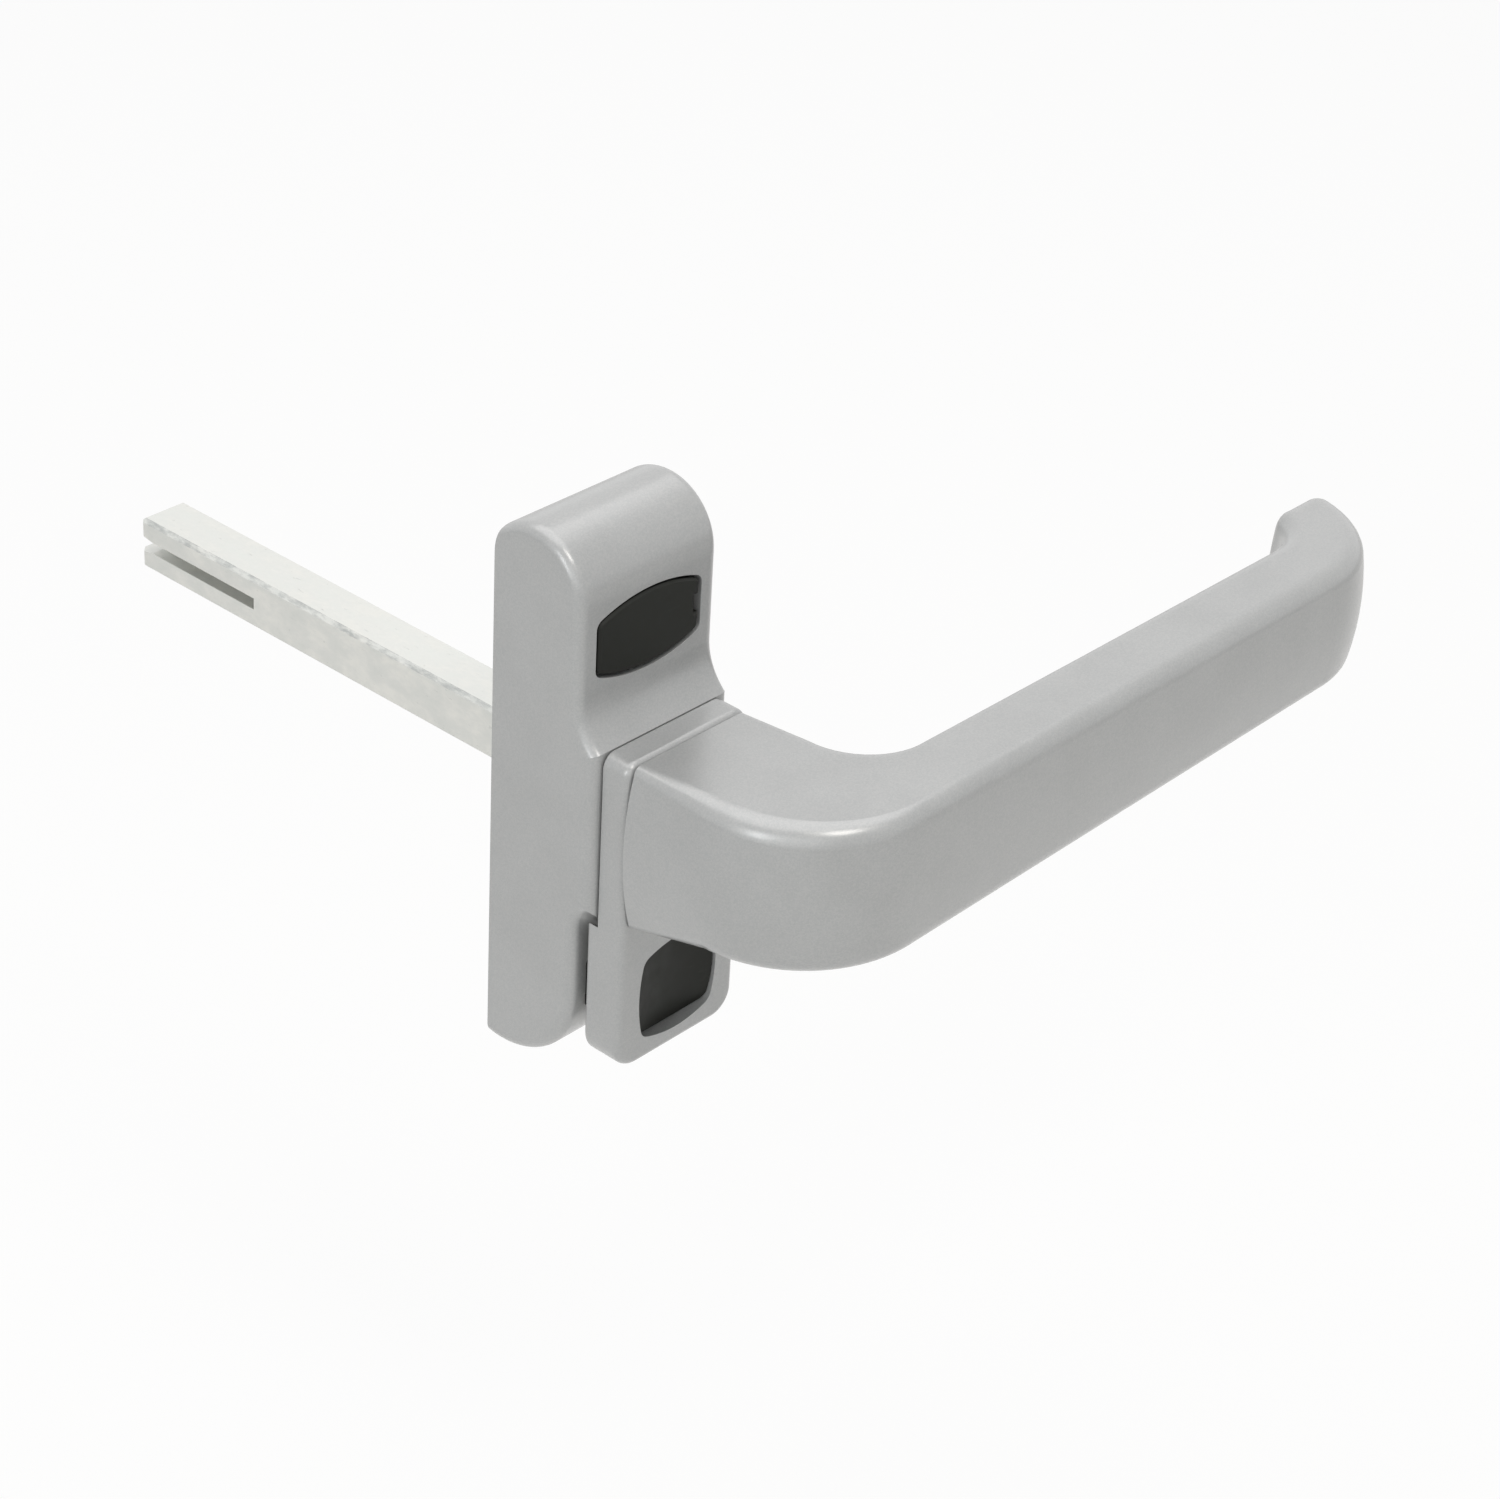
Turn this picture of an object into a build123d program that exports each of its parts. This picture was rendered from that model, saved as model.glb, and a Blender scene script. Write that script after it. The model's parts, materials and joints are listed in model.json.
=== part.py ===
from build123d import *
import os
from math import acos, degrees

os.makedirs("parts", exist_ok=True)

# All lengths are millimetres. X runs along the lever, Y points into the door and Z is up.
# The origin is where the spindle axis crosses the back of the base.

# Base housing
base_width = 25.0
base_top = 40.3
base_bottom = 40.0
base_depth = 15.2
base_wall = 2.2
base_edge_radius = 1.6
top_lead = 6.5
top_back_drop = 3.0
bottom_lead = 2.0
bottom_back_drop = 0.2
hub_rise = 3.1
hub_top = 12.2
hub_wall = 4.5
flare_height = 6.5
rib_thickness = 1.8
chamber_half_height = 16.8

# Fixing screws and the two windows over them
screw_spacing = 50.4
screw_hole_diameter = 4.6
screw_head_diameter = 8.6
screw_post_diameter = 10.2
window_width = 19.0
window_height = 11.6
window_end_crown = 2.0
window_corner_radius = 1.4
window_floor = 2.5
cap_rise = 0.1
cap_gap = 0.45
cap_thickness = 2.2
cap_notch_width = 2.6
cap_notch_depth = 0.7
cap_edge = 0.3

# Clearances
slip = 0.05
running = 0.3

# Journal, bearing and index work inside the hub
journal_diameter = 13.0
journal_flat = 11.4
bush_diameter = 17.0
bush_flange_diameter = 20.0
bush_flange_thickness = 1.2
thrust_washer_thickness = 0.8
washer_overlap = 0.6
cam_size = 14.0
cam_corner_radius = 9.3
cam_thickness = 5.0
leaf_thickness = 0.6
leaf_width = 4.2
leaf_hook = 1.0
keeper_block_height = 5.4
keeper_block_depth = 7.0
keeper_end_wall = 1.2
leaf_slot_depth = 6.0
disc_spring_thickness = 0.5
disc_spring_rise = 0.3
disc_spring_diameter = 17.0
ring_thickness = 1.0
ring_width = 2.0
ring_groove_depth = 0.4
ring_gap = 4.4
ring_lug_radius = 1.5
ring_lug_hole = 0.7
journal_tail = 0.9

# Lock plate that turns with the lever
plate_width = 22.2
plate_thickness = 4.3
tail_border = 2.5
plate_top_radius = 2.0
plate_bottom_radius = 3.8
plate_edge_radius = 1.1
tail_clearance = 1.3
tail_step_lead = 1.2
pin_diameter = 3.0
pin_offset = 9.4
pin_depth = 4.0
pin_web = 1.0
pin_chamfer = 0.3
tail_back_radius = 0.8

# Lock button in the tail of the plate
button_width = 14.6
button_height = 14.8
button_drop = 0.2
button_end_crown = 1.4
button_side_crown = 0.8
button_corner_radius = 1.8
button_recess = 0.3
button_rim = 2.4
button_hollow = 1.6
button_travel = 2.4
button_clearance = 0.2
ear_reach = 1.9
ear_height = 4.4
ear_thickness = 0.9
ear_cover = 1.0
nose_width = 12.4
nose_height = 8.6
nose_proud = 1.0
nose_round = 0.8
retainer_thickness = 0.8
retainer_side_border = 1.4
retainer_end_border = 0.4
retainer_screw_diameter = 1.6
retainer_screw_head = 2.4
retainer_screw_length = 3.4
retainer_screw_inset = 1.7
retainer_screw_slot = 0.4
retainer_screw_slot_length = 1.7
retainer_corner = 1.5
coil_wire = 0.3
coil_radius = 0.7
coil_turns = 3
coil_wire_sides = 6

# Spindle
spindle_size = 8.0
spindle_reach = 81.4
spindle_grip = 11.0
spindle_corner = 0.6
spindle_end_bevel = 1.2
slot_length = 25.0
slot_height = 1.8
slot_mouth = 2.8
grub_diameter = 5.0
grub_length = 6.0
grub_hex = 2.5
grub_hex_depth = 2.6
grub_setback = 7.5
slot_mouth_length = 3.0

# Lever: neck, elbow, arm and the return at its tip
lever_top = hub_top
neck_gap = 0.3
neck_half_width = 11.8
neck_crown = 1.8
neck_edge_radius = 1.4
neck_drop = 12.6
neck_end_drop = 10.2
elbow_inner_radius = 9.0
elbow_inner_x = 22.2
elbow_outer_radius = 19.5
elbow_outer_x = 8.5
elbow_drop = 9.0
arm_inner_y = 42.1
arm_outer_y = 55.1
arm_crown = 1.2
arm_edge_radius = 3.0
tip_inner_radius = 9.5
tip_inner_x = 98.1
tip_outer_radius = 19.4
tip_outer_x = 99.0
tip_end_y = 37.2
tip_drop = 7.8
tip_edge_radius = 2.5
bend_steps = 6

# Planes that follow from the sizes above, as distances in front of the door
half_width = base_width / 2
hub_depth = base_depth + hub_rise
hub_floor = hub_depth - hub_wall
plate_back = hub_depth + running
plate_front = plate_back + plate_thickness
tail_back = base_depth + tail_clearance
tail_thickness = plate_front - tail_back
neck_back = plate_front + neck_gap
washer_back = hub_floor - thrust_washer_thickness
cam_front = washer_back - running
cam_back = cam_front - cam_thickness
ring_front = cam_back - disc_spring_thickness - disc_spring_rise
ring_back = ring_front - ring_thickness
journal_end = ring_back - journal_tail
screw_height = screw_spacing / 2
button_centre = screw_height + button_drop
plate_bottom = button_centre + button_height / 2 + tail_border
chamber_half_width = half_width - base_wall
button_front = plate_front - button_recess
button_back = button_front - button_rim
retainer_front = tail_back + retainer_thickness
ear_front = plate_front - ear_cover
ear_span = button_width - 2 * button_clearance + 2 * ear_reach
nose_length = button_back - tail_back + nose_proud
keeper_front = tail_back - nose_proud - button_travel - running
keeper_recess = base_depth - keeper_front
hollow_radius = ((button_width / 2) ** 2 + button_hollow**2) / (2 * button_hollow)
retainer_width = ear_span + retainer_side_border
retainer_height = button_height + retainer_end_border
tail_step_radius = button_centre - retainer_height / 2
hub_radius = tail_step_radius - tail_step_lead
retainer_screw_x = retainer_width - 2 * retainer_screw_inset
retainer_screw_z = retainer_height - 2 * retainer_screw_inset
coil_offset = button_width / 2 + ear_reach / 2
grub_y = -plate_front - grub_setback


# Four-sided outline whose ends bow outward, and its sides too where they are given a crown
def barrel(width, height, end_crown, side_crown, corner):
    x = width / 2 - side_crown
    z = height / 2 - end_crown
    with BuildSketch() as outline:
        with BuildLine():
            ThreePointArc((-x, z), (0, z + end_crown), (x, z))
            ThreePointArc((x, -z), (0, -z - end_crown), (-x, -z))
            if side_crown > 0:
                ThreePointArc((x, z), (x + side_crown, 0), (x, -z))
                ThreePointArc((-x, -z), (-x - side_crown, 0), (-x, z))
            else:
                Line((x, z), (x, -z))
                Line((-x, -z), (-x, z))
        make_face()
        fillet(outline.vertices(), corner)
    return outline.sketch


# Plane parallel to the door and facing the user, at a distance in front of it
def in_front(distance):
    return Plane.XZ.offset(distance)


# Circle with two flats, as on the tail of the journal
def round_with_flats(diameter, across_flats):
    with BuildSketch() as outline:
        Circle(diameter / 2)
        Rectangle(diameter, across_flats, mode=Mode.INTERSECT)
    return outline.sketch


window_outline = barrel(window_width, window_height, window_end_crown, 0, window_corner_radius)
button_window = barrel(
    button_width, button_height, button_end_crown, button_side_crown, button_corner_radius
)
button_outline = offset(button_window, -button_clearance)
cap_outline = offset(window_outline, -cap_gap)
keeper_outline = offset(window_outline, -slip)


# Rounded rectangle about the origin
def plate_outline(width, height, corner):
    with BuildSketch() as outline:
        RectangleRounded(width, height, corner)
    return outline.sketch


retainer_bed = plate_outline(retainer_width, retainer_height, retainer_corner)
retainer_outline = plate_outline(retainer_width - 2 * slip, retainer_height - 2 * slip, retainer_corner)


# Base housing: domed ends, a hub for the journal and a cove running up to the face
with BuildPart() as base_housing:
    with BuildSketch(Plane.YZ.offset(-half_width)) as side_view:
        with BuildLine():
            top_back = TangentArc((-top_lead, base_top), (0, base_top - top_back_drop), tangent=(1, 0))
            top_end = (-base_depth, base_top - base_depth + top_lead)
            top_front = TangentArc((-top_lead, base_top), top_end, tangent=(-1, 0))
            flare_start = (-base_depth, hub_top + flare_height)
            Line(top_front @ 1, flare_start)
            flare = TangentArc(flare_start, (-hub_depth, hub_top), tangent=(0, -1))
            bottom_end_z = -base_bottom + base_depth - bottom_lead
            Polyline(flare @ 1, (-hub_depth, bottom_end_z), (-base_depth, bottom_end_z))
            TangentArc((-bottom_lead, -base_bottom), (-base_depth, bottom_end_z), tangent=(-1, 0))
            bottom_edge = (0, -base_bottom + bottom_back_drop)
            TangentArc((-bottom_lead, -base_bottom), bottom_edge, tangent=(1, 0))
            Line(bottom_edge, top_back @ 1)
        make_face()
    extrude(amount=base_width)

    # Recess under the hub, turned about the spindle axis so that the tail can swing past
    with BuildSketch(Plane.XY) as recess_section:
        with BuildLine():
            far = base_top + base_bottom
            beyond = hub_depth + hub_rise
            cove_end = (hub_radius + hub_rise, -base_depth)
            cove = TangentArc((hub_radius, -hub_depth), cove_end, tangent=(0, 1))
            Line(cove @ 1, (far, -base_depth))
            Polyline((far, -base_depth), (far, -beyond), (hub_radius, -beyond), cove @ 0)
        make_face()
    revolve(axis=Axis.Y, revolution_arc=180, mode=Mode.SUBTRACT)
    sides = base_housing.faces().filter_by(Axis.X).sort_by(Axis.X)
    rim = sides[0].edges() + sides[-1].edges()
    fillet(rim.filter_by(lambda e: e.center().Y < -slip), base_edge_radius)

    # Chambers behind the face, split by two ribs
    with BuildSketch(Plane.XZ) as chambers:
        Rectangle(base_width - 2 * base_wall, 2 * chamber_half_height)
    extrude(amount=hub_floor, mode=Mode.SUBTRACT)
    chamber_start = chamber_half_height + rib_thickness
    upper_chamber_height = base_top - top_back_drop - base_wall - chamber_start
    lower_chamber_height = base_bottom - bottom_back_drop - base_wall - chamber_start
    with BuildSketch(Plane.XZ) as end_chambers:
        with Locations((0, chamber_start + upper_chamber_height / 2)):
            Rectangle(base_width - 2 * base_wall, upper_chamber_height)
        with Locations((0, -chamber_start - lower_chamber_height / 2)):
            Rectangle(base_width - 2 * base_wall, lower_chamber_height)
        fillet(end_chambers.vertices(), base_edge_radius)
    extrude(amount=base_depth - keeper_recess - cap_thickness - window_floor, mode=Mode.SUBTRACT)

    # Screw posts standing in the end chambers
    with BuildSketch(Plane.XZ) as posts:
        with Locations((0, screw_height), (0, -screw_height)):
            Circle(screw_post_diameter / 2)
    extrude(amount=base_depth - keeper_recess - cap_thickness)

    # Windows over the screws, deeper at the bottom where the lock nose enters
    with BuildSketch(in_front(base_depth)) as upper_window:
        with Locations((0, screw_height)):
            add(window_outline)
    extrude(amount=cap_rise - cap_thickness, mode=Mode.SUBTRACT)
    with BuildSketch(in_front(base_depth)) as lower_window:
        with Locations((0, -screw_height)):
            add(window_outline)
    extrude(amount=-keeper_recess - cap_thickness, mode=Mode.SUBTRACT)
    for side, recess in ((1, -cap_rise), (-1, keeper_recess)):
        pocket_floor = base_depth - recess - cap_thickness
        with Locations(in_front(pocket_floor) * Pos(0, side * screw_height, 0)):
            CounterSinkHole(screw_hole_diameter / 2, screw_head_diameter / 2, depth=pocket_floor)

    # Bore and counterbore for the bush
    with Locations(in_front(hub_depth)):
        CounterBoreHole(
            bush_diameter / 2, bush_flange_diameter / 2, bush_flange_thickness, depth=hub_wall
        )
base_housing.part.label = "base_housing"
export_step(base_housing.part, "parts/base_housing.step")


# Screw cover with a snap notch on its right edge
with BuildPart() as upper_screw_cap:
    with BuildSketch(in_front(base_depth + cap_rise)) as cap_face:
        with Locations((0, screw_height)):
            add(cap_outline)
        with Locations((window_width / 2 - cap_gap, screw_height)):
            Rectangle(2 * cap_notch_depth, cap_notch_width, mode=Mode.SUBTRACT)
    extrude(amount=-cap_thickness)
    front_rim = upper_screw_cap.faces().sort_by(Axis.Y)[0].edges()
    chamfer(front_rim, cap_edge)
upper_screw_cap.part.label = "upper_screw_cap"
export_step(upper_screw_cap.part, "parts/upper_screw_cap.step")


# Lower cover, whose window catches the nose of the lock button
with BuildPart() as lock_keeper:
    with BuildSketch(in_front(base_depth - keeper_recess)) as keeper_face:
        with Locations((0, -screw_height)):
            add(keeper_outline)
    extrude(amount=-cap_thickness)
    chamfer(lock_keeper.faces().sort_by(Axis.Y)[0].edges(), cap_edge)
lock_keeper.part.label = "lock_keeper"
export_step(lock_keeper.part, "parts/lock_keeper.step")


# Flanged bush that the journal turns in
with BuildPart() as neck_bush:
    with Locations(in_front(hub_depth)):
        Cylinder(
            bush_flange_diameter / 2 - slip,
            bush_flange_thickness,
            align=(Align.CENTER, Align.CENTER, Align.MAX),
        )
        Cylinder(bush_diameter / 2, hub_wall, align=(Align.CENTER, Align.CENTER, Align.MAX))
    with Locations(in_front(hub_depth)):
        Hole(journal_diameter / 2 + slip)
neck_bush.part.label = "neck_bush"
export_step(neck_bush.part, "parts/neck_bush.step")


# Washer between the hub wall and the index cam
with BuildPart() as thrust_washer:
    with BuildSketch(in_front(washer_back)):
        Circle(bush_diameter / 2 + washer_overlap)
        Circle(journal_diameter / 2 + slip, mode=Mode.SUBTRACT)
    extrude(amount=thrust_washer_thickness)
thrust_washer.part.label = "thrust_washer"
export_step(thrust_washer.part, "parts/thrust_washer.step")


# Square cam with turned corners: its flats rest against the leaf springs every quarter turn
with BuildPart() as index_cam:
    with BuildSketch(in_front(cam_back)):
        Circle(cam_corner_radius)
        Rectangle(cam_size, cam_size, mode=Mode.INTERSECT)
        add(round_with_flats(journal_diameter + 2 * slip, journal_flat + 2 * slip), mode=Mode.SUBTRACT)
    extrude(amount=cam_thickness)
index_cam.part.label = "index_cam"
export_step(index_cam.part, "parts/index_cam.step")


# Leaf springs, one each side of the cam, with hooked ends
leaf_length = 2 * chamber_half_height - 2 * keeper_end_wall
for name, side in (("index_spring_left", -1), ("index_spring_right", 1)):
    with BuildPart() as leaf:
        with BuildSketch(in_front(cam_back + (cam_thickness - leaf_width) / 2)):
            with Locations((side * (cam_size + leaf_thickness) / 2, 0)):
                Rectangle(leaf_thickness, leaf_length)
            with Locations(
                (side * (cam_size / 2 + leaf_hook / 2), (leaf_length - leaf_thickness) / 2),
                (side * (cam_size / 2 + leaf_hook / 2), -(leaf_length - leaf_thickness) / 2),
            ):
                Rectangle(leaf_hook, leaf_thickness)
        extrude(amount=leaf_width)
    leaf.part.label = name
    export_step(leaf.part, f"parts/{name}.step")


# Blocks above and below the cam that carry the ends of the leaf springs
for name, side in (("spring_keeper_upper", 1), ("spring_keeper_lower", -1)):
    with BuildPart() as block:
        centre = side * (chamber_half_height - keeper_block_height / 2)
        with BuildSketch(in_front(hub_floor)):
            with Locations((0, centre)):
                Rectangle(2 * chamber_half_width, keeper_block_height)
        extrude(amount=-keeper_block_depth)
        slot_length_z = keeper_block_height - keeper_end_wall + slip
        slot_centre = side * (chamber_half_height - keeper_block_height + slot_length_z / 2)
        hook_centre = side * (leaf_length / 2 - leaf_thickness / 2)
        with BuildSketch(in_front(hub_floor - keeper_block_depth)):
            for x_side in (-1, 1):
                with Locations((x_side * (cam_size / 2 + leaf_hook / 2), slot_centre)):
                    Rectangle(leaf_hook + 2 * slip, slot_length_z)
        extrude(amount=leaf_slot_depth, mode=Mode.SUBTRACT)
    block.part.label = name
    export_step(block.part, f"parts/{name}.step")


# Conical spring washer that takes up the end play
with BuildPart() as disc_spring:
    with BuildSketch(Plane.XY):
        with BuildLine():
            inner = journal_diameter / 2 + slip
            outer = disc_spring_diameter / 2
            Polyline(
                (inner, -ring_front),
                (outer, -ring_front - disc_spring_rise),
                (outer, -cam_back),
                (inner, -cam_back + disc_spring_rise),
                close=True,
            )
        make_face()
    revolve(axis=Axis.Y)
disc_spring.part.label = "disc_spring"
export_step(disc_spring.part, "parts/disc_spring.step")


# Open retaining ring with two eyes for the pliers
with BuildPart() as retaining_ring:
    ring_inner = journal_diameter / 2 - ring_groove_depth
    with BuildSketch(in_front(ring_back)) as ring_face:
        Circle(ring_inner + ring_width)
        with Locations((0, -ring_inner - ring_width / 2)):
            Rectangle(ring_gap + 2 * ring_lug_radius, ring_width + ring_lug_radius)
        Circle(ring_inner, mode=Mode.SUBTRACT)
        with Locations((0, -ring_inner)):
            Rectangle(ring_gap, journal_diameter, mode=Mode.SUBTRACT)
        with Locations(
            (ring_gap / 2 + ring_lug_radius / 2, -ring_inner - ring_width / 2),
            (-ring_gap / 2 - ring_lug_radius / 2, -ring_inner - ring_width / 2),
        ):
            Circle(ring_lug_hole, mode=Mode.SUBTRACT)
    extrude(amount=ring_thickness)
retaining_ring.part.label = "retaining_ring"
export_step(retaining_ring.part, "parts/retaining_ring.step")


# Lock plate: a flat plate behind the neck whose tail thickens towards the base
with BuildPart() as lock_plate:
    with BuildSketch(in_front(plate_back)) as plate_face:
        with Locations((0, (hub_top - plate_bottom) / 2)):
            Rectangle(plate_width, hub_top + plate_bottom)
        fillet(plate_face.vertices().group_by(Axis.Y)[-1], plate_top_radius)
        fillet(plate_face.vertices().group_by(Axis.Y)[0], plate_bottom_radius)
    extrude(amount=plate_thickness)
    with BuildSketch(in_front(tail_back)) as tail_face:
        with Locations((0, -plate_bottom / 2)):
            Rectangle(plate_width, plate_bottom)
        fillet(tail_face.vertices().group_by(Axis.Y)[0], plate_bottom_radius)
        Circle(tail_step_radius, mode=Mode.SUBTRACT)
    extrude(amount=plate_back - tail_back)
    front_edges = lock_plate.faces().sort_by(Axis.Y)[0].edges()
    fillet(front_edges, plate_edge_radius)
    tail_face_back = lock_plate.faces().filter_by(Axis.Y).sort_by(Axis.Y)[-1]
    fillet(tail_face_back.edges(), tail_back_radius)

    # Window for the button, with side pockets for its ears and a bed for the retainer
    with BuildSketch(in_front(plate_front)):
        with Locations((0, -button_centre)):
            add(button_window)
    extrude(amount=-tail_thickness, mode=Mode.SUBTRACT)
    with BuildSketch(in_front(retainer_front)):
        with Locations((0, -button_centre)):
            Rectangle(ear_span + 2 * button_clearance, ear_height + 2 * button_clearance)
    extrude(amount=ear_front - retainer_front, mode=Mode.SUBTRACT)
    with BuildSketch(in_front(tail_back)):
        with Locations((0, -button_centre)):
            add(retainer_bed)
    extrude(amount=retainer_thickness, mode=Mode.SUBTRACT)
    with Locations(in_front(retainer_front) * Pos(0, -button_centre, 0)):
        with GridLocations(retainer_screw_x, retainer_screw_z, 2, 2):
            Cylinder(
                retainer_screw_diameter / 2,
                retainer_screw_length - retainer_thickness,
                align=(Align.CENTER, Align.CENTER, Align.MIN),
                mode=Mode.SUBTRACT,
            )

    # Holes for the journal and the two drive pins
    with Locations(in_front(plate_front)):
        Hole(journal_diameter / 2 + slip, depth=plate_thickness)
    with Locations(in_front(plate_front)):
        with Locations((0, pin_offset), (0, -pin_offset)):
            Hole(pin_diameter / 2, depth=plate_thickness - pin_web)
lock_plate.part.label = "lock_plate"
export_step(lock_plate.part, "parts/lock_plate.step")


# Pins that make the plate turn with the lever
with BuildPart() as drive_pins:
    with BuildSketch(in_front(plate_back + pin_web)):
        with Locations((0, pin_offset), (0, -pin_offset)):
            Circle(pin_diameter / 2)
    extrude(amount=plate_thickness - pin_web + pin_depth)
    chamfer(drive_pins.edges().filter_by(GeomType.CIRCLE), pin_chamfer)
drive_pins.part.label = "drive_pins"
export_step(drive_pins.part, "parts/drive_pins.step")


# Button: a hollowed thumb pad, a nose that enters the keeper and two ears that hold it in
with BuildPart() as lock_button:
    with BuildSketch(in_front(button_back)):
        with Locations((0, -button_centre)):
            add(button_outline)
    extrude(amount=button_rim)
    with BuildSketch(in_front(ear_front)):
        with Locations((0, -button_centre)):
            Rectangle(ear_span, ear_height)
    extrude(amount=-ear_thickness)
    with Locations(Pos(0, -button_front - hollow_radius + button_hollow, -button_centre)):
        Cylinder(hollow_radius, button_height, mode=Mode.SUBTRACT)
    with BuildSketch(in_front(button_back)):
        with Locations((0, -button_centre)):
            Rectangle(nose_width, nose_height)
    extrude(amount=-nose_length)
    nose_tip = lock_button.faces().filter_by(Axis.Y).sort_by(Axis.Y)[-1]
    fillet(nose_tip.edges(), nose_round)
lock_button.part.label = "lock_button"
export_step(lock_button.part, "parts/lock_button.step")


# Steel plate that closes the back of the tail and guides the nose
with BuildPart() as button_retainer:
    with BuildSketch(in_front(tail_back)):
        with Locations((0, -button_centre)):
            add(retainer_outline)
            Rectangle(
                nose_width + 2 * button_clearance,
                nose_height + 2 * button_clearance,
                mode=Mode.SUBTRACT,
            )
            with GridLocations(retainer_screw_x, retainer_screw_z, 2, 2):
                Circle(retainer_screw_diameter / 2 + slip, mode=Mode.SUBTRACT)
    extrude(amount=retainer_thickness)
    with Locations(in_front(tail_back) * Pos(0, -button_centre, 0)):
        with GridLocations(retainer_screw_x, retainer_screw_z, 2, 2):
            Cone(
                retainer_screw_head / 2,
                retainer_screw_diameter / 2,
                retainer_thickness,
                align=(Align.CENTER, Align.CENTER, Align.MIN),
                mode=Mode.SUBTRACT,
            )
button_retainer.part.label = "button_retainer"
export_step(button_retainer.part, "parts/button_retainer.step")


# Countersunk screws of the retainer
with BuildPart() as retainer_screws:
    with Locations(in_front(tail_back) * Pos(0, -button_centre, 0)):
        with GridLocations(retainer_screw_x, retainer_screw_z, 2, 2):
            Cone(
                retainer_screw_head / 2 - slip,
                retainer_screw_diameter / 2 - slip,
                retainer_thickness,
                align=(Align.CENTER, Align.CENTER, Align.MIN),
            )
            Cylinder(
                retainer_screw_diameter / 2 - slip,
                retainer_screw_length,
                align=(Align.CENTER, Align.CENTER, Align.MIN),
            )
            Box(
                retainer_screw_slot_length,
                retainer_screw_slot,
                retainer_screw_slot,
                align=(Align.CENTER, Align.CENTER, Align.MIN),
                mode=Mode.SUBTRACT,
            )
retainer_screws.part.label = "retainer_screws"
export_step(retainer_screws.part, "parts/retainer_screws.step")


# Coil springs between the ears and the retainer
coil_length = ear_front - ear_thickness - retainer_front - coil_wire
for name, side in (("button_spring_left", -1), ("button_spring_right", 1)):
    coil_foot = (side * coil_offset, -retainer_front - coil_wire / 2, -button_centre)
    with BuildPart() as coil:
        with BuildLine() as path:
            Helix(coil_length / coil_turns, coil_length, coil_radius, center=coil_foot, direction=(0, -1, 0))
        with BuildSketch(Plane(origin=path.line @ 0, z_dir=path.line % 0)):
            RegularPolygon(coil_wire / 2, coil_wire_sides)
        sweep()
    coil.part.label = name
    export_step(coil.part, f"parts/{name}.step")


# Square bar with eased corners and a slot sawn along its far end
with BuildPart() as spindle:
    with BuildSketch(in_front(plate_front + spindle_grip)):
        Rectangle(spindle_size, spindle_size)
    extrude(amount=-(plate_front + spindle_grip + spindle_reach))
    chamfer(spindle.faces().sort_by(Axis.Y)[-1].edges(), spindle_end_bevel)
    chamfer(spindle.edges().filter_by(Axis.Y), spindle_corner)
    with BuildSketch(Plane.YZ.offset(-spindle_size)) as slot_side:
        with BuildLine():
            start = spindle_reach - slot_length
            mouth = spindle_reach - slot_mouth_length
            Polyline(
                (start, slot_height / 2),
                (mouth, slot_height / 2),
                (spindle_reach, slot_mouth / 2),
                (spindle_reach, -slot_mouth / 2),
                (mouth, -slot_height / 2),
                (start, -slot_height / 2),
                close=True,
            )
        make_face()
    extrude(amount=2 * spindle_size, mode=Mode.SUBTRACT)
spindle.part.label = "spindle"
export_step(spindle.part, "parts/spindle.step")


# Socket screw that clamps the spindle from under the neck
with BuildPart() as spindle_grub_screw:
    with BuildSketch(Plane.XY.offset(-spindle_size / 2 - grub_length)):
        with Locations((0, grub_y)):
            Circle(grub_diameter / 2)
    extrude(amount=grub_length)
    with BuildSketch(Plane.XY.offset(-spindle_size / 2 - grub_length)):
        with Locations((0, grub_y)):
            RegularPolygon(grub_hex / 2, 6, major_radius=False)
    extrude(amount=grub_hex_depth, mode=Mode.SUBTRACT)
    chamfer(spindle_grub_screw.edges().filter_by(GeomType.CIRCLE), pin_chamfer)
spindle_grub_screw.part.label = "spindle_grub_screw"
export_step(spindle_grub_screw.part, "parts/spindle_grub_screw.step")


# One section of the lever, standing on the line between an inner and an outer point of its
# plan: flat top and bottom, bowed sides and rounded corners
def lever_section(inner, outer, drop, crown, corner):
    across = Vector(outer[0] - inner[0], outer[1] - inner[1], 0)
    centre = Vector((inner[0] + outer[0]) / 2, (inner[1] + outer[1]) / 2, 0)
    half = across.length / 2
    x = half - crown
    middle = (lever_top - drop) / 2
    with BuildSketch() as section:
        with BuildLine():
            Line((-x, lever_top), (x, lever_top))
            ThreePointArc((x, lever_top), (half, middle), (x, -drop))
            Line((x, -drop), (-x, -drop))
            ThreePointArc((-x, -drop), (-half, middle), (-x, lever_top))
        make_face()
        fillet(section.vertices(), corner)
    return Plane(origin=centre, x_dir=across, z_dir=across.cross(Vector(0, 0, 1))) * section.sketch


# Angle that a bend turns through before its side comes back to a given distance from the door
def sweep_to(distance, side_distance, radius):
    return degrees(acos(1 - (side_distance - distance) / radius))


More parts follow.
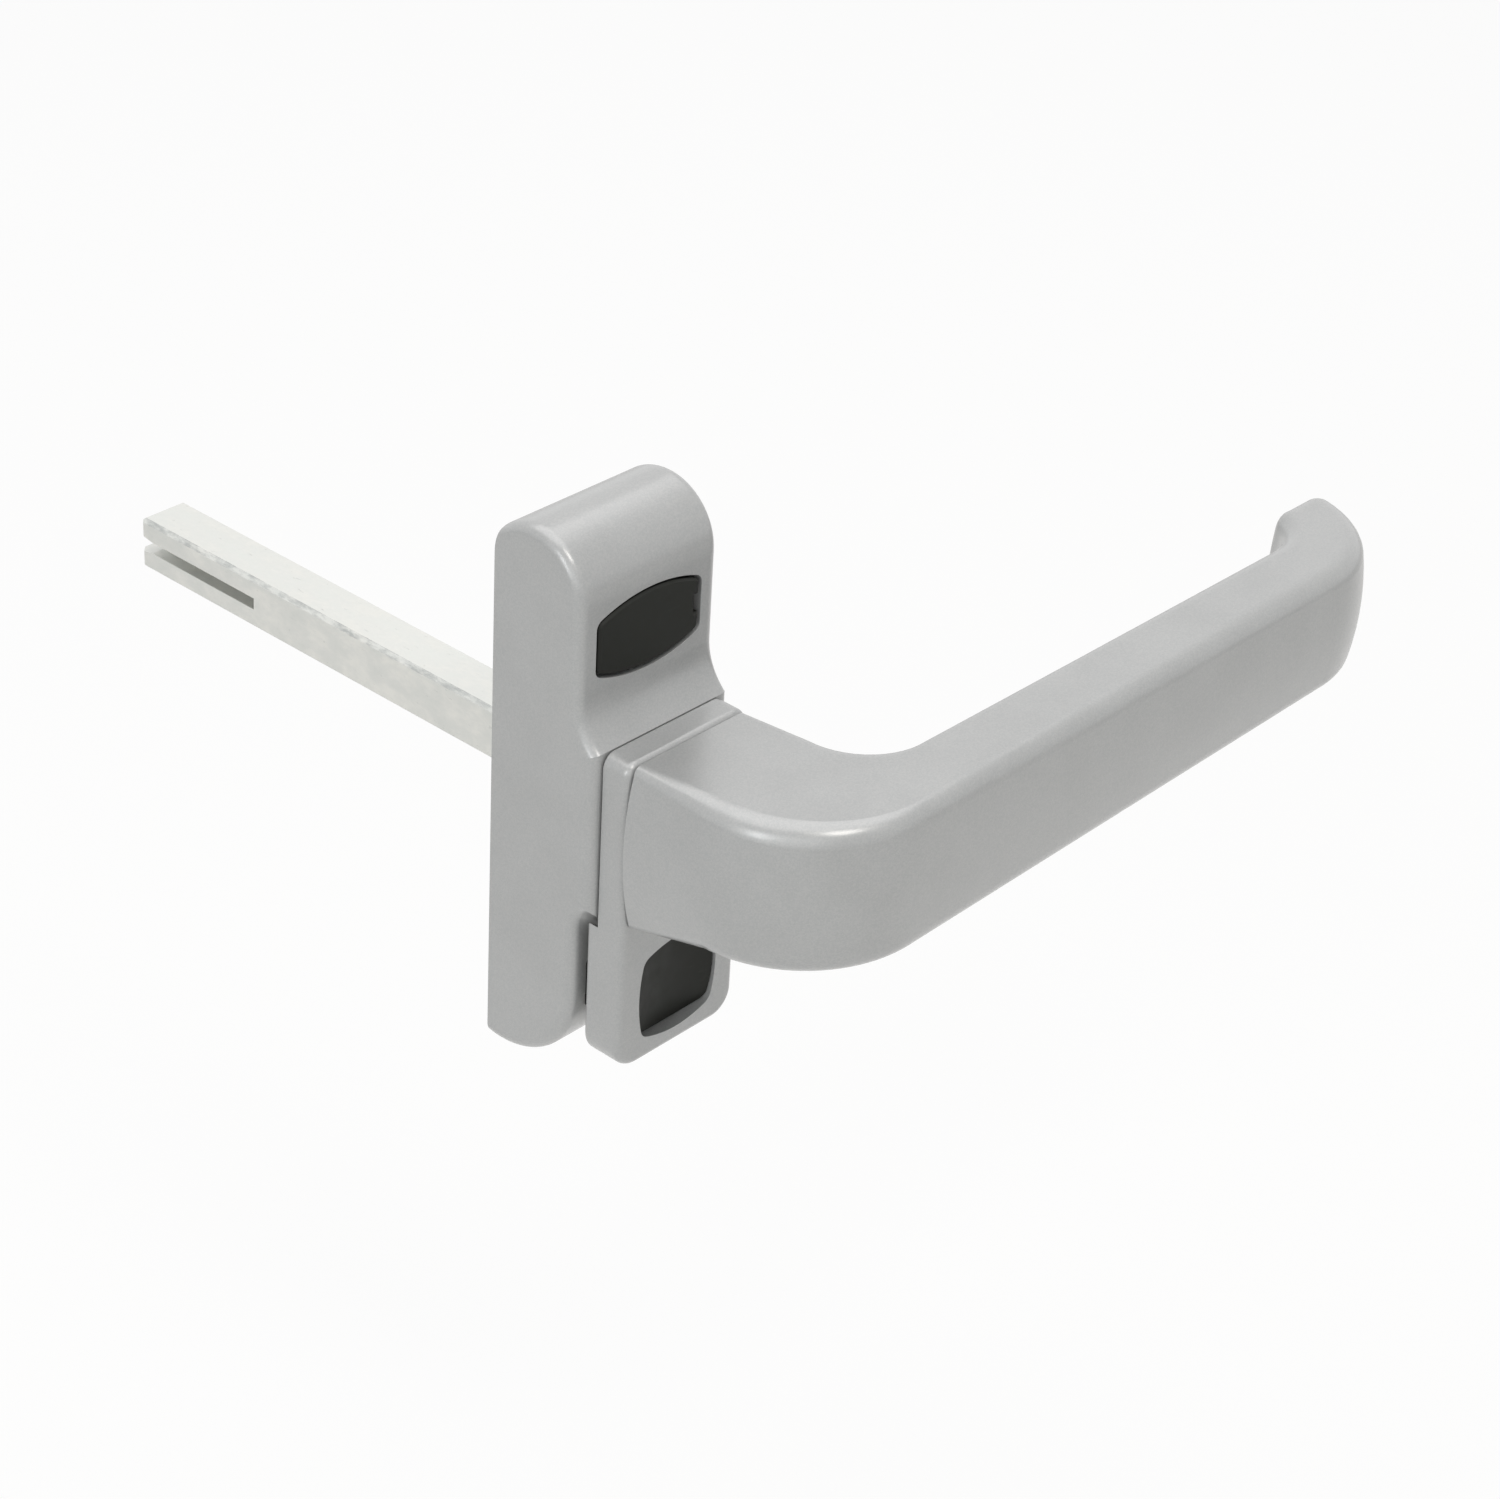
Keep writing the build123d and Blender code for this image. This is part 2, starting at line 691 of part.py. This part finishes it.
# Sections round a bend, whose inner and outer sides are arcs about centres of their own
def bend_sections(inner_centre, inner_radius, outer_centre, outer_radius, first_angle, sweeps, drops):
    sections = []
    for step in range(bend_steps + 1):
        share = step / bend_steps
        inner_turn = Vector(1, 0, 0).rotate(Axis.Z, first_angle + sweeps[0] * share)
        outer_turn = Vector(1, 0, 0).rotate(Axis.Z, first_angle + sweeps[1] * share)
        inner = Vector(*inner_centre) + inner_turn * inner_radius
        outer = Vector(*outer_centre) + outer_turn * outer_radius
        drop = drops[0] + (drops[1] - drops[0]) * share
        sections.append(
            lever_section((inner.X, inner.Y), (outer.X, outer.Y), drop, arm_crown, arm_edge_radius)
        )
    return sections


quarter_turn = 90
elbow_sections = bend_sections(
    (elbow_inner_x, elbow_inner_radius - arm_inner_y),
    elbow_inner_radius,
    (elbow_outer_x, elbow_outer_radius - arm_outer_y),
    elbow_outer_radius,
    2 * quarter_turn,
    (quarter_turn, quarter_turn),
    (neck_end_drop, elbow_drop),
)
tip_sections = bend_sections(
    (tip_inner_x, tip_inner_radius - arm_inner_y),
    tip_inner_radius,
    (tip_outer_x, tip_outer_radius - arm_outer_y),
    tip_outer_radius,
    3 * quarter_turn,
    (
        sweep_to(tip_end_y, arm_inner_y, tip_inner_radius),
        sweep_to(tip_end_y, arm_outer_y, tip_outer_radius),
    ),
    (tip_drop, tip_drop),
)
neck_section = lever_section(
    (neck_half_width, -neck_back), (-neck_half_width, -neck_back), neck_drop, neck_crown, neck_edge_radius
)

# Lever cast in one with its journal
with BuildPart() as lever_handle:
    for sections, straight in (
        ((neck_section, elbow_sections[0]), True),
        (elbow_sections, False),
        ((elbow_sections[-1], tip_sections[0]), True),
        (tip_sections, False),
    ):
        loft(sections=sections, ruled=straight)
    tip_end = lever_handle.faces().filter_by(Axis.Y).sort_by(Axis.X)[-1]
    fillet(tip_end.edges(), tip_edge_radius)

    # Journal with two flats for the cam and a groove for the retaining ring
    with BuildSketch(in_front(neck_back)):
        Circle(journal_diameter / 2)
    extrude(amount=washer_back - neck_back)
    with BuildSketch(in_front(washer_back)):
        add(round_with_flats(journal_diameter, journal_flat))
    extrude(amount=journal_end - washer_back)
    with BuildSketch(in_front(ring_front)):
        Circle(journal_diameter)
        Circle(journal_diameter / 2 - ring_groove_depth, mode=Mode.SUBTRACT)
    extrude(amount=ring_back - ring_front, mode=Mode.SUBTRACT)

    # Socket for the spindle, holes for the drive pins and the clamping screw
    with BuildSketch(in_front(journal_end)):
        Rectangle(spindle_size + 2 * slip, spindle_size + 2 * slip)
    extrude(amount=plate_front + spindle_grip - journal_end, mode=Mode.SUBTRACT)
    with BuildSketch(in_front(plate_front)):
        with Locations((0, pin_offset), (0, -pin_offset)):
            Circle(pin_diameter / 2)
    extrude(amount=pin_depth, mode=Mode.SUBTRACT)
    with BuildSketch(Plane.XY.offset(-neck_drop)):
        with Locations((0, grub_y)):
            Circle(grub_diameter / 2)
    extrude(amount=neck_drop, mode=Mode.SUBTRACT)
lever_handle.part.label = "lever_handle"
export_step(lever_handle.part, "parts/lever_handle.step")
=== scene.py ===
import json
import math

import bpy
from mathutils import Matrix, Vector


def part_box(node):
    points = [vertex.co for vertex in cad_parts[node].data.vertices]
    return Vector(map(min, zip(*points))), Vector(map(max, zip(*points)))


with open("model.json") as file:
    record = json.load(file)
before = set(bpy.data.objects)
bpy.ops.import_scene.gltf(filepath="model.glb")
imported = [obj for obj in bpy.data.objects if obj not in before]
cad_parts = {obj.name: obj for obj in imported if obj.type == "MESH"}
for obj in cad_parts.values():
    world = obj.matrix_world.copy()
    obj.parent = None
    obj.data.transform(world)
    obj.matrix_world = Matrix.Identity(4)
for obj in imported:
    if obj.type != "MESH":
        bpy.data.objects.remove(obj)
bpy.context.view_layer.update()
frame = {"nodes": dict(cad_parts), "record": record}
mm = 0.001

white = "#FFFFFF"
noiseSpan = (0.3, 0.7)       # nearly all values of a noise lie between these

# sockets of a colour mix, by number because their names are used more than once
mixShare, mixFirst, mixSecond, mixResult = 0, 6, 7, 2


# Helpers shared by every material

def linear(hexCode):
    channels = [int(hexCode[i:i + 2], 16) / 255 for i in (1, 3, 5)]
    return tuple(c / 12.92 if c <= 0.04045 else ((c + 0.055) / 1.055) ** 2.4 for c in channels) + (1.0,)


# pattern scale at which a feature has this size in mm
def scaleFor(size):
    return 1 / (size * mm)


# links what is given as a socket and sets the rest, by input name or number
def setInputs(tree, node, inputs):
    for name, value in inputs.items():
        if isinstance(value, bpy.types.NodeSocket):
            tree.links.new(value, node.inputs[name])
        else:
            node.inputs[name].default_value = value


def addNode(tree, kind, inputs=None, stops=None, **settings):
    node = tree.nodes.new(kind)
    for name, value in settings.items():
        setattr(node, name, value)
    setInputs(tree, node, inputs or {})
    if stops:
        elements = node.color_ramp.elements
        while len(elements) < len(stops):
            elements.new(0.5)    # its position is set below
        for element, (position, colour) in zip(elements, stops):
            element.position = position
            element.color = linear(colour)
    return node


def newMaterial(name):
    material = bpy.data.materials.new(name)
    material.use_nodes = True
    tree = material.node_tree
    tree.nodes.clear()
    shader = addNode(tree, "ShaderNodeBsdfPrincipled")
    addNode(tree, "ShaderNodeOutputMaterial", {"Surface": shader.outputs["BSDF"]})
    return material, tree, shader


# Silver paint on the three castings

silverPaint = {
    "flakeDark": "#A6A8A8",
    "flakeMiddle": "#ABACAC",
    "flakeLight": "#B0B1B0",
    "flakeSize": 0.18,       # mm, real flakes are 0.05 mm: coarser here so that they show
    "cloudSize": 9.0,        # mm, drifts of denser and thinner spray
    "cloudDark": "#FAFAFA",  # multiplies the flakes' colour
    "cloudEdges": (0.35, 0.65),
    "cloudDetail": 3.0,
    "peelSize": 1.8,         # mm, waves of the orange peel
    "peelHeight": 0.006,     # mm
    "peelDetail": 2.0,
    "metallic": 0.18,
    "roughness": (0.30, 0.36),
    "coat": 0.9,
    "coatRoughness": 0.24,
}


# sprayed metallic paint: an even silver grey with a fine glitter, faint clouds of spray, and a
# slightly wavy skin that softens the highlights on the rounded edges
def makeSilverPaint():
    piece = silverPaint
    material, tree, shader = newMaterial("Silver metallic paint, sprayed on zinc casting")
    place = addNode(tree, "ShaderNodeTexCoord").outputs["Object"]
    flakes = addNode(tree, "ShaderNodeTexVoronoi", {"Vector": place, "Scale": scaleFor(piece["flakeSize"])})
    flakeShade = addNode(tree, "ShaderNodeSeparateColor", {"Color": flakes.outputs["Color"]})
    flakeColour = addNode(tree, "ShaderNodeValToRGB", {"Fac": flakeShade.outputs["Red"]}, stops=[
        (0.0, piece["flakeDark"]), (0.5, piece["flakeMiddle"]), (1.0, piece["flakeLight"]),
    ])
    clouds = addNode(tree, "ShaderNodeTexNoise", {
        "Vector": place, "Scale": scaleFor(piece["cloudSize"]), "Detail": piece["cloudDetail"],
    })
    cloudColour = addNode(tree, "ShaderNodeValToRGB", {"Fac": clouds.outputs["Fac"]}, stops=[
        (piece["cloudEdges"][0], piece["cloudDark"]), (piece["cloudEdges"][1], white),
    ])
    colour = addNode(tree, "ShaderNodeMix", {
        mixShare: 1.0, mixFirst: flakeColour.outputs["Color"], mixSecond: cloudColour.outputs["Color"],
    }, data_type="RGBA", blend_type="MULTIPLY")
    shine = addNode(tree, "ShaderNodeMapRange", {
        "Value": clouds.outputs["Fac"], "From Min": noiseSpan[0], "From Max": noiseSpan[1],
        "To Min": piece["roughness"][0], "To Max": piece["roughness"][1],
    })
    peel = addNode(tree, "ShaderNodeTexNoise", {
        "Vector": place, "Scale": scaleFor(piece["peelSize"]), "Detail": piece["peelDetail"],
    })
    bump = addNode(tree, "ShaderNodeBump", {
        "Height": peel.outputs["Fac"], "Distance": piece["peelHeight"] * mm,
    })
    setInputs(tree, shader, {
        "Base Color": colour.outputs[mixResult],
        "Roughness": shine.outputs["Result"],
        "Normal": bump.outputs["Normal"],
        "Metallic": piece["metallic"],
        "Coat Weight": piece["coat"],
        "Coat Roughness": piece["coatRoughness"],
    })
    return material


# Black mouldings: the two covers and the lock button

blackPlastic = {
    "dark": "#10120D",
    "light": "#161812",
    "blotchSize": 2.2,       # mm
    "blotchDetail": 4.0,
    "grainSize": 0.18,       # mm, spark-eroded grain of the mould
    "grainHeight": 0.012,    # mm
    "grainDetail": 2.0,
    "rubSize": 0.9,          # mm across a rub mark
    "rubSqueeze": 0.08,      # squeezes the pattern along the marks, so they come out long
    "rubSlant": 0.5,         # radians, about the direction into the door
    "rubDetail": 6.0,
    "rubEdges": (0.62, 0.78),
    "rubShare": 0.6,
    "rubLight": "#262823",
    "roughness": (0.42, 0.54),
    "specular": 0.3,         # nylon with talc shines less than clear plastic
}


# moulded nylon: near black with a green cast, satin, fine even grain and a few faint rub marks
def makeBlackPlastic():
    piece = blackPlastic
    material, tree, shader = newMaterial("Black nylon, moulded satin")
    place = addNode(tree, "ShaderNodeTexCoord").outputs["Object"]
    blotches = addNode(tree, "ShaderNodeTexNoise", {
        "Vector": place, "Scale": scaleFor(piece["blotchSize"]), "Detail": piece["blotchDetail"],
    })
    base = addNode(tree, "ShaderNodeValToRGB", {"Fac": blotches.outputs["Fac"]}, stops=[
        (noiseSpan[0], piece["dark"]), (noiseSpan[1], piece["light"]),
    ])
    slant = addNode(tree, "ShaderNodeMapping", {
        "Vector": place, "Rotation": (0, piece["rubSlant"], 0), "Scale": (piece["rubSqueeze"], 1, 1),
    })
    rubs = addNode(tree, "ShaderNodeTexNoise", {
        "Vector": slant.outputs["Vector"],
        "Scale": scaleFor(piece["rubSize"]), "Detail": piece["rubDetail"],
    })
    rubMask = addNode(tree, "ShaderNodeMapRange", {
        "Value": rubs.outputs["Fac"], "From Min": piece["rubEdges"][0], "From Max": piece["rubEdges"][1],
        "To Max": piece["rubShare"],
    })
    colour = addNode(tree, "ShaderNodeMix", {
        mixShare: rubMask.outputs["Result"],
        mixFirst: base.outputs["Color"], mixSecond: linear(piece["rubLight"]),
    }, data_type="RGBA")
    shine = addNode(tree, "ShaderNodeMapRange", {
        "Value": blotches.outputs["Fac"], "From Min": noiseSpan[0], "From Max": noiseSpan[1],
        "To Min": piece["roughness"][0], "To Max": piece["roughness"][1],
    })
    grain = addNode(tree, "ShaderNodeTexNoise", {
        "Vector": place, "Scale": scaleFor(piece["grainSize"]), "Detail": piece["grainDetail"],
    })
    bump = addNode(tree, "ShaderNodeBump", {
        "Height": grain.outputs["Fac"], "Distance": piece["grainHeight"] * mm,
    })
    setInputs(tree, shader, {
        "Base Color": colour.outputs[mixResult],
        "Roughness": shine.outputs["Result"],
        "Normal": bump.outputs["Normal"],
        "Specular IOR Level": piece["specular"],
    })
    return material


# Bright zinc plate on the square bar and the small steel pieces

zincPlate = {
    "shades": ("#D8DAD6", "#DDDEDA", "#E5E5E0"),
    "shadeStops": (0.32, 0.5, 0.66),
    "cloudSize": 2.6,        # mm across the bar, drawn out along it
    "cloudSqueeze": 0.6,
    "cloudDetail": 8.0,
    "cloudRoughness": 0.6,
    "lineSize": 0.22,        # mm, drawing lines along the bar
    "lineSqueeze": 0.012,
    "lineHeight": 0.005,     # mm
    "lineDetail": 3.0,
    "fleckSize": 0.8,        # mm across, handling marks that lie along the bar
    "fleckSqueeze": 0.3,
    "fleckDetail": 5.0,
    "fleckRoughness": 0.7,
    "fleckEdges": (0.63, 0.70),
    "fleckShare": 0.4,
    "fleckDark": "#989B98",
    "arrisShade": "#AEB1AF",  # painted shade: a grey line on the bar's four long edges, where they turn from the light
    "arrisEdges": (0.25, 0.45),
    # noise range and shares that make the painted edge shade patchy
    "shadeBreakupEdges": (0.4, 0.62),
    "shadeBreakupShares": (0.1, 0.9),
    "metallic": 0.75,
    "roughness": (0.46, 0.28),
}


# drawn bar, bright zinc plated: almost white, cloudy bands with duller and brighter shine, fine
# straight drawing lines, a few ragged grey handling marks along it and painted grey shade lines on its long
# edges
def makeZincPlate():
    piece = zincPlate
    material, tree, shader = newMaterial("Bright zinc plate on drawn steel")
    coordinates = addNode(tree, "ShaderNodeTexCoord")
    place = coordinates.outputs["Object"]
    along = addNode(tree, "ShaderNodeMapping", {"Vector": place, "Scale": (1, piece["cloudSqueeze"], 1)})
    clouds = addNode(tree, "ShaderNodeTexNoise", {
        "Vector": along.outputs["Vector"], "Scale": scaleFor(piece["cloudSize"]),
        "Detail": piece["cloudDetail"], "Roughness": piece["cloudRoughness"],
    })
    base = addNode(tree, "ShaderNodeValToRGB", {"Fac": clouds.outputs["Fac"]},
                   stops=list(zip(piece["shadeStops"], piece["shades"])))
    lying = addNode(tree, "ShaderNodeMapping", {"Vector": place, "Scale": (1, piece["fleckSqueeze"], 1)})
    flecks = addNode(tree, "ShaderNodeTexNoise", {
        "Vector": lying.outputs["Vector"], "Scale": scaleFor(piece["fleckSize"]),
        "Detail": piece["fleckDetail"], "Roughness": piece["fleckRoughness"],
    })
    fleckMask = addNode(tree, "ShaderNodeMapRange", {
        "Value": flecks.outputs["Fac"],
        "From Min": piece["fleckEdges"][0], "From Max": piece["fleckEdges"][1],
        "To Max": piece["fleckShare"],
    })
    marked = addNode(tree, "ShaderNodeMix", {
        mixShare: fleckMask.outputs["Result"],
        mixFirst: base.outputs["Color"], mixSecond: linear(piece["fleckDark"]),
    }, data_type="RGBA")

    # painted shade on the long edges: only the rounded long edges face sideways and up or down at once, so
    # X times Z finds them
    facing = addNode(tree, "ShaderNodeSeparateXYZ", {"Vector": coordinates.outputs["Normal"]})
    slant = addNode(tree, "ShaderNodeMath", {
        0: facing.outputs["X"], 1: facing.outputs["Z"],
    }, operation="MULTIPLY")
    edge = addNode(tree, "ShaderNodeMath", {0: slant.outputs["Value"]}, operation="ABSOLUTE")
    # the handling-mark noise breaks up the painted edge shade, so the line is patchy
    shadeBreakup = addNode(tree, "ShaderNodeMapRange", {
        "Value": flecks.outputs["Fac"],
        "From Min": piece["shadeBreakupEdges"][0], "From Max": piece["shadeBreakupEdges"][1],
        "To Min": piece["shadeBreakupShares"][0], "To Max": piece["shadeBreakupShares"][1],
    })
    # how much painted shade each long edge gets
    arrisShadeMask = addNode(tree, "ShaderNodeMapRange", {
        "Value": edge.outputs["Value"],
        "From Min": piece["arrisEdges"][0], "From Max": piece["arrisEdges"][1],
        "To Max": shadeBreakup.outputs["Result"],
    })
    colour = addNode(tree, "ShaderNodeMix", {
        mixShare: arrisShadeMask.outputs["Result"],
        mixFirst: marked.outputs[mixResult], mixSecond: linear(piece["arrisShade"]),
    }, data_type="RGBA")

    shine = addNode(tree, "ShaderNodeMapRange", {
        "Value": clouds.outputs["Fac"], "From Min": noiseSpan[0], "From Max": noiseSpan[1],
        "To Min": piece["roughness"][0], "To Max": piece["roughness"][1],
    })
    drawn = addNode(tree, "ShaderNodeMapping", {"Vector": place, "Scale": (1, piece["lineSqueeze"], 1)})
    lines = addNode(tree, "ShaderNodeTexNoise", {
        "Vector": drawn.outputs["Vector"],
        "Scale": scaleFor(piece["lineSize"]), "Detail": piece["lineDetail"],
    })
    bump = addNode(tree, "ShaderNodeBump", {
        "Height": lines.outputs["Fac"], "Distance": piece["lineHeight"] * mm,
    })
    setInputs(tree, shader, {
        "Base Color": colour.outputs[mixResult],
        "Roughness": shine.outputs["Result"],
        "Normal": bump.outputs["Normal"],
        "Metallic": piece["metallic"],
    })
    return material


# Bush and spring keepers, inside the base

whiteAcetal = {
    "dark": "#DAD9CF",
    "light": "#E8E7DF",
    "mottleSize": 1.5,       # mm
    "mottleDetail": 3.0,
    "grainSize": 0.12,       # mm
    "grainHeight": 0.006,    # mm
    "roughness": 0.35,
}


# moulded acetal: milky white, faintly mottled, with a low waxy shine
def makeWhiteAcetal():
    piece = whiteAcetal
    material, tree, shader = newMaterial("White acetal, moulded")
    place = addNode(tree, "ShaderNodeTexCoord").outputs["Object"]
    mottle = addNode(tree, "ShaderNodeTexNoise", {
        "Vector": place, "Scale": scaleFor(piece["mottleSize"]), "Detail": piece["mottleDetail"],
    })
    base = addNode(tree, "ShaderNodeValToRGB", {"Fac": mottle.outputs["Fac"]}, stops=[
        (noiseSpan[0], piece["dark"]), (noiseSpan[1], piece["light"]),
    ])
    grain = addNode(tree, "ShaderNodeTexNoise", {"Vector": place, "Scale": scaleFor(piece["grainSize"])})
    bump = addNode(tree, "ShaderNodeBump", {
        "Height": grain.outputs["Fac"], "Distance": piece["grainHeight"] * mm,
    })
    setInputs(tree, shader, {
        "Base Color": base.outputs["Color"],
        "Normal": bump.outputs["Normal"],
        "Roughness": piece["roughness"],
    })
    return material


# Leaf, coil and disc springs and the retaining ring

springSteel = {
    "dark": "#85837E",
    "light": "#98968F",
    "lineSize": 0.14,        # mm, rolling lines
    "lineSqueeze": 0.05,
    "lineHeight": 0.003,     # mm
    "lineDetail": 4.0,
    "metallic": 1.0,
    "roughness": 0.34,
}


# rolled spring steel: grey, with fine rolling lines up the leaf and an oily sheen
def makeSpringSteel():
    piece = springSteel
    material, tree, shader = newMaterial("Spring steel, rolled")
    place = addNode(tree, "ShaderNodeTexCoord").outputs["Object"]
    rolled = addNode(tree, "ShaderNodeMapping", {"Vector": place, "Scale": (1, 1, piece["lineSqueeze"])})
    lines = addNode(tree, "ShaderNodeTexNoise", {
        "Vector": rolled.outputs["Vector"],
        "Scale": scaleFor(piece["lineSize"]), "Detail": piece["lineDetail"],
    })
    base = addNode(tree, "ShaderNodeValToRGB", {"Fac": lines.outputs["Fac"]}, stops=[
        (noiseSpan[0], piece["dark"]), (noiseSpan[1], piece["light"]),
    ])
    bump = addNode(tree, "ShaderNodeBump", {
        "Height": lines.outputs["Fac"], "Distance": piece["lineHeight"] * mm,
    })
    setInputs(tree, shader, {
        "Base Color": base.outputs["Color"],
        "Normal": bump.outputs["Normal"],
        "Metallic": piece["metallic"],
        "Roughness": piece["roughness"],
    })
    return material


# Clamping screw of the bar, under the neck

blackSteel = {
    "dark": "#1C1D20",
    "light": "#34363A",
    "mottleSize": 0.6,       # mm
    "mottleHeight": 0.008,   # mm
    "mottleDetail": 5.0,
    "metallic": 0.7,
    "roughness": 0.42,
}


# blackened steel of the socket screw: dark blue grey, mottled and slightly rough
def makeBlackSteel():
    piece = blackSteel
    material, tree, shader = newMaterial("Steel, black oxide")
    place = addNode(tree, "ShaderNodeTexCoord").outputs["Object"]
    mottle = addNode(tree, "ShaderNodeTexNoise", {
        "Vector": place, "Scale": scaleFor(piece["mottleSize"]), "Detail": piece["mottleDetail"],
    })
    base = addNode(tree, "ShaderNodeValToRGB", {"Fac": mottle.outputs["Fac"]}, stops=[
        (noiseSpan[0], piece["dark"]), (noiseSpan[1], piece["light"]),
    ])
    bump = addNode(tree, "ShaderNodeBump", {
        "Height": mottle.outputs["Fac"], "Distance": piece["mottleHeight"] * mm,
    })
    setInputs(tree, shader, {
        "Base Color": base.outputs["Color"],
        "Normal": bump.outputs["Normal"],
        "Metallic": piece["metallic"],
        "Roughness": piece["roughness"],
    })
    return material


materialOf = {
    "painted_casting": makeSilverPaint(),
    "black_plastic": makeBlackPlastic(),
    "white_acetal": makeWhiteAcetal(),
    "zinc_plated_steel": makeZincPlate(),
    "spring_steel": makeSpringSteel(),
    "black_steel": makeBlackSteel(),
}
for part in frame["record"]["subparts"]:
    slots = frame["nodes"][part["node"]].data.materials
    slots.clear()
    slots.append(materialOf[part["material_slot"]])
print("materials done")


# Stage: a pale floor that stays white to the camera and keeps a soft shadow

stage = {
    "floorGap": 4.08,        # mm under the arm's tip when the arm hangs down
    "floorSize": 4.0,        # m
    "floorColour": "#EEEEED",
    "floorRoughness": 0.9,
    "whiteStrength": 1.0,    # shows as plain white
    "whiteShare": 0.88,      # how far the camera sees the floor as plain white
    "skyStrength": 0.45,     # what the white room adds as light
}


def makeFloor():
    half = stage["floorSize"] / 2
    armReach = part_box("lever_handle")[1][0]    # highest X of the lever at rest
    height = -armReach - stage["floorGap"] * mm
    mesh = bpy.data.meshes.new("floor")
    corners = [(-half, -half, height), (half, -half, height), (half, half, height), (-half, half, height)]
    mesh.from_pydata(corners, [], [(0, 1, 2, 3)])
    floor = bpy.data.objects.new("floor", mesh)
    bpy.context.scene.collection.objects.link(floor)
    material, tree, shader = newMaterial("Paper backdrop, matt white")
    setInputs(tree, shader, {
        "Base Color": linear(stage["floorColour"]), "Roughness": stage["floorRoughness"],
    })
    glow = addNode(tree, "ShaderNodeEmission", {"Color": linear(white), "Strength": stage["whiteStrength"]})
    path = addNode(tree, "ShaderNodeLightPath")
    share = addNode(tree, "ShaderNodeMath", {
        0: path.outputs["Is Camera Ray"], 1: stage["whiteShare"],
    }, operation="MULTIPLY")
    mix = addNode(tree, "ShaderNodeMixShader", {
        0: share.outputs["Value"], 1: shader.outputs["BSDF"], 2: glow.outputs["Emission"],
    })
    setInputs(tree, tree.nodes["Material Output"], {"Surface": mix.outputs["Shader"]})
    mesh.materials.append(material)


# white to the camera and in reflections, dimmer as a light
def makeWorld():
    world = bpy.data.worlds.new("studio")
    world.use_nodes = True
    bpy.context.scene.world = world
    tree = world.node_tree
    tree.nodes.clear()
    path = addNode(tree, "ShaderNodeLightPath")
    dim, bright = (
        addNode(tree, "ShaderNodeBackground", {"Color": linear(white), "Strength": stage[strength]})
        for strength in ("skyStrength", "whiteStrength")
    )
    seen = addNode(tree, "ShaderNodeMath", {
        0: path.outputs["Is Camera Ray"], 1: path.outputs["Is Glossy Ray"],
    }, operation="MAXIMUM")
    mix = addNode(tree, "ShaderNodeMixShader", {
        0: seen.outputs["Value"], 1: dim.outputs["Background"], 2: bright.outputs["Background"],
    })
    addNode(tree, "ShaderNodeOutputWorld", {"Surface": mix.outputs["Shader"]})


# places, targets and sizes in m, power in W
softboxes = [
    {   # large and overhead, for the tops of the arm and the bar
        "name": "top softbox", "place": (0.10, 0.20, 0.95), "target": (0.03, 0, 0),
        "size": (1.3, 1.0), "power": 5.4, "colour": "#FFFDFD",
    },
    {   # gives the right one of the two highlights on the elbow
        "name": "front softbox", "place": (-0.06, -0.46, 0.78), "target": (0.03, 0, 0),
        "size": (0.28, 0.28), "power": 1.75, "colour": "#FFFBF5",
    },
    {   # lifts the fronts
        "name": "fill softbox", "place": (-0.66, -0.50, 0.34), "target": (0, 0, 0),
        "size": (0.6, 0.6), "power": 0.7, "colour": "#FEFFFE",
    },
    {   # gives the left highlight, and lights the left sides of the base and the bar
        "name": "left softbox", "place": (-0.80, -0.12, 0.32), "target": (0, 0, 0),
        "size": (0.2, 0.4), "power": 1.15, "colour": "#FCFEFF",
    },
]


def makeSoftbox(box):
    light = bpy.data.lights.new(box["name"], "AREA")
    light.shape = "RECTANGLE"
    light.size, light.size_y = box["size"]
    light.energy = box["power"]
    light.color = linear(box["colour"])[:3]
    lamp = bpy.data.objects.new(box["name"], light)
    lamp.location = Vector(box["place"])
    lamp.rotation_mode = "QUATERNION"
    lamp.rotation_quaternion = (Vector(box["target"]) - Vector(box["place"])).to_track_quat("-Z", "Y")
    bpy.context.scene.collection.objects.link(lamp)


makeFloor()
makeWorld()
for box in softboxes:
    makeSoftbox(box)
print("stage done")


# Camera, fitted to the edges in the photograph

view = {
    "azimuth": -49.152,      # degrees, as are the next two
    "elevation": 31.584,
    "roll": 3.333,
    "target": (41.085, 2.362, -18.315),  # mm, as are the next three
    "distance": 525.973,
    "lens": 88.933,
    "sensorWidth": 36.0,
    "clip": (0.01, 20.0),    # m
}


def makeCamera():
    azimuth, elevation, roll = (math.radians(view[key]) for key in ("azimuth", "elevation", "roll"))
    right = Vector((math.cos(azimuth), math.sin(azimuth), 0))
    ahead = Vector((-math.sin(azimuth), math.cos(azimuth), 0))
    back = Vector((0, 0, 1)) * math.sin(elevation) - ahead * math.cos(elevation)
    up = back.cross(right)
    tiltedRight = right * math.cos(roll) + up * math.sin(roll)
    tiltedUp = up * math.cos(roll) - right * math.sin(roll)
    data = bpy.data.cameras.new("camera")
    data.lens = view["lens"]
    data.sensor_width = view["sensorWidth"]
    data.sensor_fit = "HORIZONTAL"
    data.clip_start, data.clip_end = view["clip"]
    camera = bpy.data.objects.new("camera", data)
    place = (Vector(view["target"]) + back * view["distance"]) * mm
    turn = Matrix((tiltedRight, tiltedUp, back)).transposed().to_4x4()
    camera.matrix_world = Matrix.Translation(place) @ turn
    bpy.context.scene.collection.objects.link(camera)
    bpy.context.scene.camera = camera


makeCamera()
bpy.context.scene.view_settings.view_transform = "Standard"
print("camera done")
